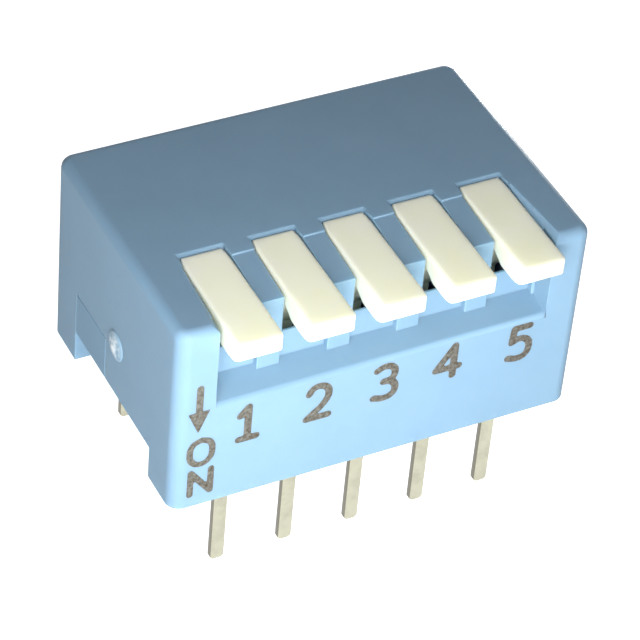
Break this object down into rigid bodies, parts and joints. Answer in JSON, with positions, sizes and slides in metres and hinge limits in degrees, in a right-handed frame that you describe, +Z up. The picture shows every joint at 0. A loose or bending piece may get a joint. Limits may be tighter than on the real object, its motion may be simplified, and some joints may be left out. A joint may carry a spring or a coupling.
{
  "type": "dip switch",
  "caption": "Piano dip switch: blue moulded housing with a row of cream rocking levers in a front recess and two rows of straight through-hole pins.",
  "frame": {"origin": "centre of the pin pattern, in the plane of the board's upper face, which the feet of the cover stand on", "axes": "+X along the row from the first lever to the last, +Y from the levers to the rear wall, +Z up from the board"},
  "size_m": [0.0149, 0.0111, 0.0116],
  "materials": {
    "cover": "satin moulded",
    "base": "matt moulded",
    "lever": "satin moulded",
    "wiper": "plain spring strip",
    "front_terminal": "bright tin plate",
    "rear_terminal": "bright tin plate"
  },
  "bodies": {
    "housing": {"cover": "cover", "base": "base", "front_terminal_1": "front_terminal", "front_terminal_2": "front_terminal", "front_terminal_3": "front_terminal", "front_terminal_4": "front_terminal", "front_terminal_5": "front_terminal", "rear_terminal_1": "rear_terminal", "rear_terminal_2": "rear_terminal", "rear_terminal_3": "rear_terminal", "rear_terminal_4": "rear_terminal", "rear_terminal_5": "rear_terminal"},
    "rocker_1": {"lever_1": "lever", "wiper_1": "wiper"},
    "rocker_2": {"lever_2": "lever", "wiper_2": "wiper"},
    "rocker_3": {"lever_3": "lever", "wiper_3": "wiper"},
    "rocker_4": {"lever_4": "lever", "wiper_4": "wiper"},
    "rocker_5": {"lever_5": "lever", "wiper_5": "wiper"}
  },
  "joints": [
    {"name": "lever_pivot_1", "type": "hinge", "parent": "housing", "child": "rocker_1", "pos_m": [-0.00508, -0.0019, 0.005], "axis": [1, 0, 0], "range_deg": [0, 14]},
    {"name": "lever_pivot_2", "type": "hinge", "parent": "housing", "child": "rocker_2", "pos_m": [-0.00254, -0.0019, 0.005], "axis": [1, 0, 0], "range_deg": [0, 14]},
    {"name": "lever_pivot_3", "type": "hinge", "parent": "housing", "child": "rocker_3", "pos_m": [0, -0.0019, 0.005], "axis": [1, 0, 0], "range_deg": [0, 14]},
    {"name": "lever_pivot_4", "type": "hinge", "parent": "housing", "child": "rocker_4", "pos_m": [0.00254, -0.0019, 0.005], "axis": [1, 0, 0], "range_deg": [0, 14]},
    {"name": "lever_pivot_5", "type": "hinge", "parent": "housing", "child": "rocker_5", "pos_m": [0.00508, -0.0019, 0.005], "axis": [1, 0, 0], "range_deg": [0, 14]}
  ]
}
